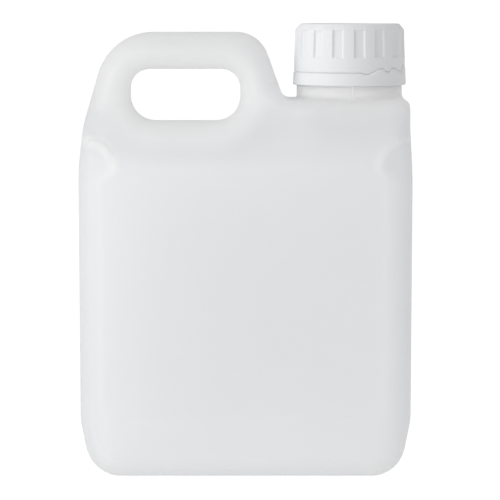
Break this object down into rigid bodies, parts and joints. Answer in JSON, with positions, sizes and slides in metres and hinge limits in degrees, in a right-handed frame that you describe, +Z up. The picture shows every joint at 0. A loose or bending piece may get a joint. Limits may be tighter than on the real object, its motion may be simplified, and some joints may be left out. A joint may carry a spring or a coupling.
{
  "type": "plastic jerrycan",
  "caption": "Upright natural plastic jerrycan with a grab handle beside a grooved screw cap, a tamper band, sunk label panels and domed front corners.",
  "frame": {"origin": "on the standing surface, under the middle of the overall box", "axes": "+Z up, +X from the handle towards the cap, -Y out of the front face"},
  "size_m": [0.1226, 0.0702, 0.1666],
  "materials": {
    "can_plastic": "natural milky polyethylene, satin, slightly translucent",
    "cap_plastic": "opaque white polypropylene, satin"
  },
  "bodies": {
    "root": {"can": "can_plastic", "cap": "cap_plastic", "tamper_band": "cap_plastic"}
  },
  "joints": []
}
